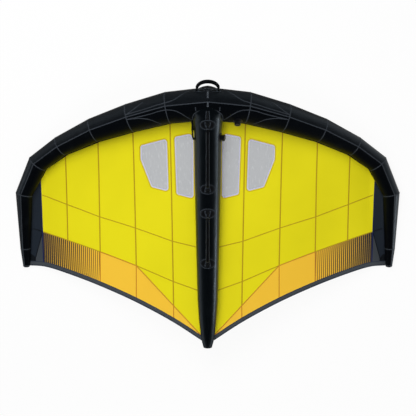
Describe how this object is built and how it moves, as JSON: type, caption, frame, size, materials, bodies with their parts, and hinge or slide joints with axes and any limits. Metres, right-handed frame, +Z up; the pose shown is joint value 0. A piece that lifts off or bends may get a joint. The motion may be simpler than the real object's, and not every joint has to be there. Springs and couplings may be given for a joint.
{
  "type": "wingfoil wing",
  "caption": "Hand-held inflatable wing: a curved tapered tube for a leading edge, a tapered centre tube with grips, and a cambered cloth canopy with clear windows.",
  "frame": {"origin": "middle of the base of the bounding box, on the ground that the tips' rails rest on", "axes": "+X along the span to the right tip, +Y forward to the leading edge, +Z up; the wing lies on its back"},
  "size_m": [3.1448, 2.162, 0.5481],
  "materials": {
    "black_cloth": "coated sailcloth",
    "bladder_film": "film",
    "yellow_cloth": "ripstop",
    "amber_cloth": "ripstop",
    "striped_cloth": "ripstop",
    "navy_cloth": "ripstop",
    "window_film": "clear",
    "webbing": "woven",
    "grip_foam": "moulded foam",
    "black_plastic": "moulded",
    "hose_rubber": "smooth"
  },
  "bodies": {
    "airframe": {"leading_edge_panel_left_1": "black_cloth", "leading_edge_panel_left_2": "black_cloth", "leading_edge_panel_left_3": "black_cloth", "leading_edge_panel_left_4": "black_cloth", "leading_edge_panel_left_5": "black_cloth", "leading_edge_panel_left_6": "black_cloth", "leading_edge_panel_left_7": "black_cloth", "leading_edge_panel_left_8": "black_cloth", "leading_edge_panel_right_1": "black_cloth", "leading_edge_panel_right_2": "black_cloth", "leading_edge_panel_right_3": "black_cloth", "leading_edge_panel_right_4": "black_cloth", "leading_edge_panel_right_5": "black_cloth", "leading_edge_panel_right_6": "black_cloth", "leading_edge_panel_right_7": "black_cloth", "leading_edge_panel_right_8": "black_cloth", "leading_edge_bladder": "bladder_film", "strut_sleeve": "black_cloth", "strut_tail": "black_cloth", "strut_bladder": "bladder_film", "canopy_column_left_1": "yellow_cloth", "canopy_column_left_2": "yellow_cloth", "canopy_column_left_3": "yellow_cloth", "canopy_column_left_4": "yellow_cloth", "canopy_column_left_5": "yellow_cloth", "window_inner_left": "window_film", "window_outer_left": "window_film", "trailing_panel_left": "amber_cloth", "striped_panel_left": "striped_cloth", "tip_panel_left": "navy_cloth", "trailing_band_left": "navy_cloth", "canopy_column_right_1": "yellow_cloth", "canopy_column_right_2": "yellow_cloth", "canopy_column_right_3": "yellow_cloth", "canopy_column_right_4": "yellow_cloth", "canopy_column_right_5": "yellow_cloth", "window_inner_right": "window_film", "window_outer_right": "window_film", "trailing_panel_right": "amber_cloth", "striped_panel_right": "striped_cloth", "tip_panel_right": "navy_cloth", "trailing_band_right": "navy_cloth", "front_handle_patch_fore": "webbing", "front_handle_patch_aft": "webbing", "rear_handle_patch_fore": "webbing", "rear_handle_patch_aft": "webbing", "leading_edge_handle_patch": "webbing", "inflation_valve_base": "black_plastic", "strut_valve_base": "black_plastic", "link_hose": "hose_rubber", "hose_clip_body": "black_plastic"},
    "front_handle": {"front_handle_grip": "grip_foam"},
    "rear_handle": {"rear_handle_grip": "grip_foam"},
    "leading_edge_handle": {"leading_edge_handle_strap": "webbing", "leading_edge_handle_pad": "grip_foam"},
    "inflation_valve_cap": {"inflation_valve_cap": "black_plastic"},
    "inflation_valve_plunger": {"inflation_valve_plunger": "black_plastic"},
    "strut_valve_cap": {"strut_valve_cap": "black_plastic"},
    "strut_valve_plunger": {"strut_valve_plunger": "black_plastic"},
    "hose_clip_lever": {"hose_clip_lever": "black_plastic"}
  },
  "joints": [
    {"name": "front_handle_swing", "type": "hinge", "parent": "airframe", "child": "front_handle", "pos_m": [0, 0.72701, 0.47528], "axis": [0, -0.9963, -0.0855], "range_deg": [-80, 80]},
    {"name": "rear_handle_swing", "type": "hinge", "parent": "airframe", "child": "rear_handle", "pos_m": [0, 0.02101, 0.42967], "axis": [0, -0.9999, 0.0158], "range_deg": [-80, 80]},
    {"name": "leading_edge_handle_swing", "type": "hinge", "parent": "airframe", "child": "leading_edge_handle", "pos_m": [0, 0.99795, 0.41204], "axis": [1, 0, 0], "range_deg": [-75, 75]},
    {"name": "inflation_valve_cap_turn", "type": "hinge", "parent": "airframe", "child": "inflation_valve_cap", "pos_m": [0.2353, 0.75187, 0.39109], "axis": [-0.037, -0.8665, 0.4979], "range_deg": [0, 90]},
    {"name": "inflation_valve_plunger_press", "type": "slide", "parent": "airframe", "child": "inflation_valve_plunger", "axis": [0.037, 0.8665, -0.4979], "range_m": [0, 0.006], "stiffness_N_per_m": 150},
    {"name": "strut_valve_cap_turn", "type": "hinge", "parent": "airframe", "child": "strut_valve_cap", "pos_m": [0.09834, 0.62101, 0.37485], "axis": [0.9607, -0.0462, 0.2738], "range_deg": [0, 90]},
    {"name": "strut_valve_plunger_press", "type": "slide", "parent": "airframe", "child": "strut_valve_plunger", "axis": [-0.9607, 0.0462, -0.2738], "range_m": [0, 0.006], "stiffness_N_per_m": 150},
    {"name": "hose_clip_lever_open", "type": "hinge", "parent": "airframe", "child": "hose_clip_lever", "pos_m": [-0.11912, 0.6824, 0.39322], "axis": [0.999, 0.0447, 0], "range_deg": [0, 100]}
  ]
}
